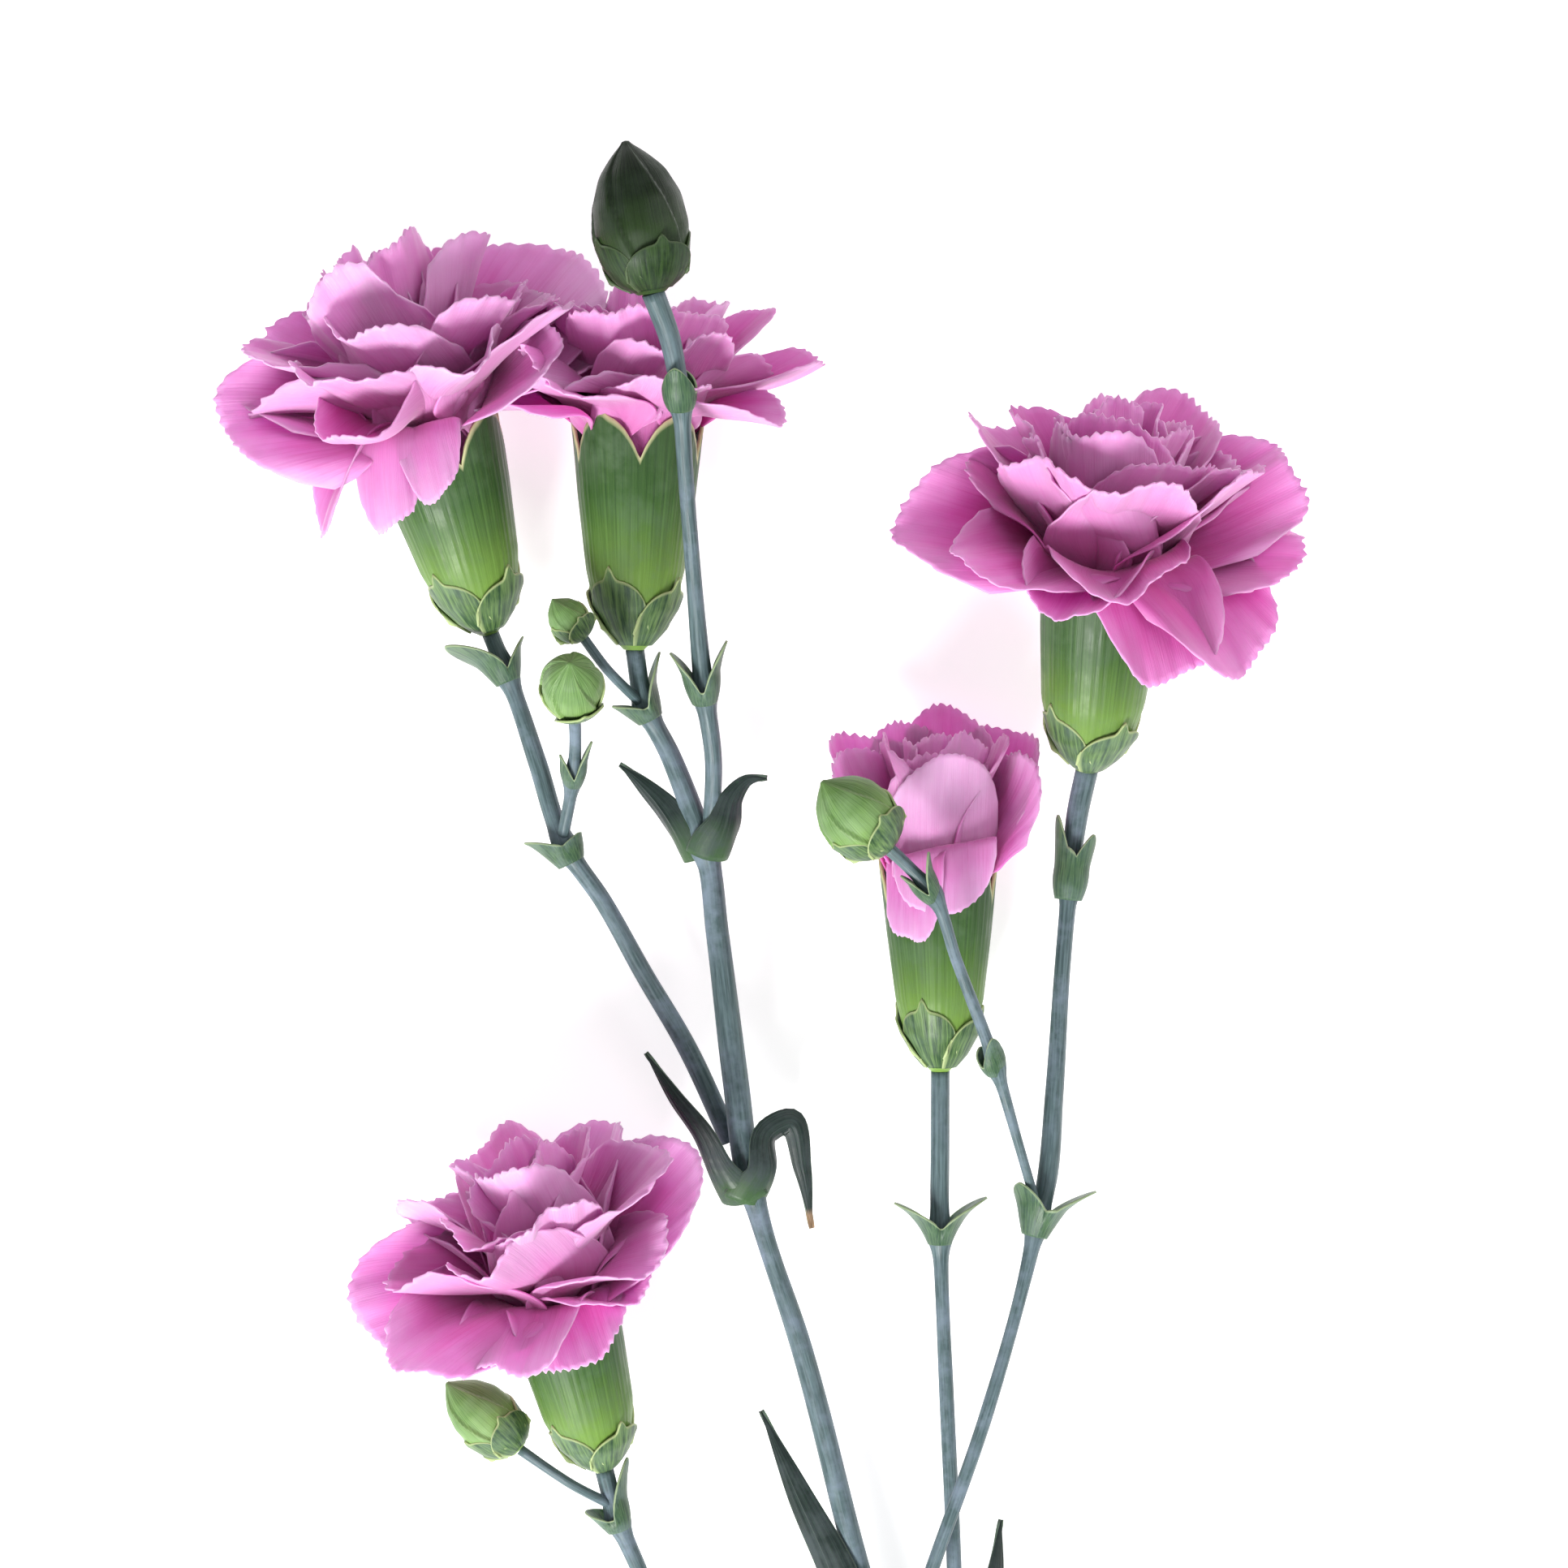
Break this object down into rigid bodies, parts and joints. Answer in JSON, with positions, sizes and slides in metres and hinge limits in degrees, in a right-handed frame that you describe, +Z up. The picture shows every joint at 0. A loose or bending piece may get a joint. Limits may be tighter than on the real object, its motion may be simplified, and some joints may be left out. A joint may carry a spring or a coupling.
{
  "type": "cut carnation",
  "caption": "Cut spray carnation lying on its side: a thin branching stem carries ruffled pink double flowers, closed green buds, small bracts and narrow leaves",
  "frame": {"origin": "On the table, under the middle of the whole spray", "axes": "+Z up from the table, +Y along the stem from the cut end towards the flowers, +X to the right seen from above"},
  "size_m": [0.1296, 0.2902, 0.0447],
  "materials": {
    "stem": "satin",
    "leaf": "satin",
    "calyx": "satin",
    "bract": "satin",
    "bud": "satin",
    "outer_petal": "matte",
    "inner_petal": "matte"
  },
  "bodies": {
    "root": {"bracts_half_open_branch": "bract", "bracts_left_fork": "bract", "bracts_low_fork": "bract", "bracts_right_bud_high": "bract", "bracts_right_bud_low": "bract", "bracts_right_fork": "bract", "bracts_round_bud_twig": "bract", "bracts_tall_bud_high": "bract", "bracts_tall_bud_low": "bract", "bracts_under_left_flower": "bract", "bracts_under_middle_flower": "bract", "bracts_under_right_flower": "bract", "branch_to_half_open_flower": "stem", "branch_to_left_flower": "stem", "branch_to_low_flower": "stem", "branch_to_right_flower": "stem", "branch_to_tall_bud": "stem", "half_open_flower_bracts": "bract", "half_open_flower_calyx": "calyx", "half_open_flower_inner_petals": "inner_petal", "half_open_flower_outer_petals": "outer_petal", "leaf_base_left": "leaf", "leaf_base_right": "leaf", "leaf_fork_left": "leaf", "leaf_fork_right": "leaf", "leaf_joint_left": "leaf", "leaf_joint_right": "leaf", "leaf_lower_left": "leaf", "leaf_lower_right": "leaf", "left_flower_bracts": "bract", "left_flower_calyx": "calyx", "left_flower_inner_petals": "inner_petal", "left_flower_outer_petals": "outer_petal", "low_bud": "bud", "low_bud_bracts": "bract", "low_flower_bracts": "bract", "low_flower_calyx": "calyx", "low_flower_inner_petals": "inner_petal", "low_flower_outer_petals": "outer_petal", "main_stem": "stem", "middle_flower_bracts": "bract", "middle_flower_calyx": "calyx", "middle_flower_inner_petals": "inner_petal", "middle_flower_outer_petals": "outer_petal", "right_bud": "bud", "right_bud_bracts": "bract", "right_flower_bracts": "bract", "right_flower_calyx": "calyx", "right_flower_inner_petals": "inner_petal", "right_flower_outer_petals": "outer_petal", "round_bud": "bud", "round_bud_bracts": "bract", "small_bud": "bud", "small_bud_bracts": "bract", "tall_bud": "bud", "tall_bud_bracts": "bract", "twig_to_low_bud": "stem", "twig_to_right_bud": "stem", "twig_to_round_bud": "stem", "twig_to_small_bud": "stem"}
  },
  "joints": []
}
